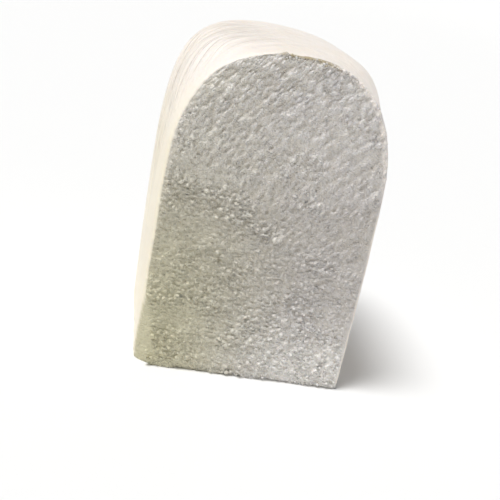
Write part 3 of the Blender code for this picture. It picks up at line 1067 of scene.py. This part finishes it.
class PANEER_OT_crumbs(bpy.types.Operator):
    """Scatters small crumbs that cling to the tall cut and to its rim"""

    bl_idname = "paneer.crumbs"
    bl_label = "Scatter the crumbs"

    def execute(self, context):
        settings = context.scene.paneer_crumbs
        amount, rim_amount = settings.amount, settings.rim_amount
        count = amount + rim_amount
        rng = np.random.default_rng(7)
        width, height = arch()
        low_power, lean_power, size_power = CRUMB_CROWDING
        lowest, band = CRUMB_BAND
        low = lowest + band * rng.uniform(0, 1, amount) ** low_power
        lean = 1 - 2 * rng.uniform(0, 1, amount) ** lean_power
        room = np.interp(low, height, width) - CRUMB_INSET

        start, reach = RIM_CRUMB_SPAN
        rim_x = start + reach * rng.uniform(0, 1, rim_amount) ** RIM_CRUMB_CROWDING
        crown = slice(FLANK_ROWS, None)
        rim_z = np.interp(np.abs(rim_x), width[crown][::-1], height[crown][::-1])
        least, more = RIM_CRUMB_BELOW
        rim_z -= least + more * rng.uniform(0, 1, rim_amount)

        places = cut_places(np.concatenate([lean * room, rim_x]), np.concatenate([low, rim_z]))
        more = settings.largest - settings.smallest
        size = settings.smallest + more * rng.uniform(0, 1, count) ** size_power
        size[amount:] *= RIM_CRUMB_SHARE
        halves = size[:, None] / 2 * rng.uniform(*CRUMB_SHAPE, (count, 3))
        rims = np.concatenate([np.zeros(amount), rng.uniform(*RIM_CRUMB_RIMS, rim_amount)])
        angles = rng.uniform(0, np.pi, count)
        material = bpy.data.materials["pressed_curd"]
        lumps_on_cut("clinging_crumbs", places, halves, angles, rims, rng, material)
        return {"FINISHED"}


def floor_bowl(size, rings, around):
    """A flat round floor that curves up towards its edge, so that it closes off the view all round.

    The radius grows by squares from a point to half the size. Past a third of that the height is
    BOWL_RISE times the square of the distance beyond, over the size.
    """
    radius = size / 2 * np.linspace(0.0, 1.0, rings)[:, None] ** 2
    turn = 2 * np.pi * np.arange(around) / around
    height = BOWL_RISE * np.maximum(radius - size / 6, 0.0) ** 2 / size + 0 * turn
    return np.stack([radius * np.cos(turn), radius * np.sin(turn), height], -1)


class PANEER_OT_stage(bpy.types.Operator):
    """Sets the floor, the soft light and the camera"""

    bl_idname = "paneer.stage"
    bl_label = "Set the stage"

    def execute(self, context):
        settings = context.scene.paneer_stage
        scene = context.scene
        mesh = grid_mesh("floor", floor_bowl(settings.floor_size, *FLOOR_GRID))
        mesh.shade_smooth()
        mesh.materials.append(floor_material(settings.floor_color))
        floor = linked("floor", mesh)

        world = bpy.data.worlds.new("pale_sky")
        world.use_nodes = True
        background = world.node_tree.nodes["Background"]
        background.inputs["Color"].default_value = (1.0, 1.0, 1.0, 1.0)
        background.inputs["Strength"].default_value = settings.sky_strength
        scene.world = world

        light = bpy.data.lights.new("soft_sun", "SUN")
        light.energy = settings.sun_strength
        light.angle = settings.sun_angle
        sun = linked("soft_sun", light)
        sun.rotation_euler = SUN_FROM.to_track_quat("Z", "Y").to_euler()

        lens = bpy.data.cameras.new("camera")
        lens.lens = settings.lens
        lens.clip_start = 0.01
        camera = linked("camera", lens)
        aim = (CAMERA_AT - CAMERA_AIM).to_track_quat("Z", "Y").to_matrix().to_4x4()
        camera.matrix_world = Matrix.Translation(CAMERA_AT) @ aim @ Matrix.Rotation(settings.roll, 4, "Z")
        scene.camera = camera
        scene.view_settings.view_transform = "Standard"
        return {"FINISHED"}


class PANEER_PT_panel(bpy.types.Panel):
    """Lists the pieces and their settings"""

    bl_idname = "PANEER_PT_panel"
    bl_label = "Cut piece of paneer"
    bl_space_type = "VIEW_3D"
    bl_region_type = "UI"
    bl_category = "Paneer"

    def draw(self, context):
        for part in GROUPS:
            box = self.layout.box()
            box.operator(f"paneer.{part}")
            settings = getattr(context.scene, f"paneer_{part}")
            for name in settings.__annotations__:
                box.prop(settings, name)


GROUPS = {"block": PaneerBlockSettings, "crumbs": PaneerCrumbSettings, "stage": PaneerStageSettings}
CLASSES = (*GROUPS.values(), PANEER_OT_block, PANEER_OT_crumbs, PANEER_OT_stage, PANEER_PT_panel)


def register():
    for made in CLASSES:
        bpy.utils.register_class(made)
    for part, group in GROUPS.items():
        setattr(bpy.types.Scene, f"paneer_{part}", PointerProperty(type=group))


def unregister():
    for part in GROUPS:
        delattr(bpy.types.Scene, f"paneer_{part}")
    for made in reversed(CLASSES):
        bpy.utils.unregister_class(made)


def main():
    register()
    bpy.ops.paneer.block()
    bpy.ops.paneer.crumbs()
    bpy.ops.paneer.stage()


if __name__ == "__main__":
    main()
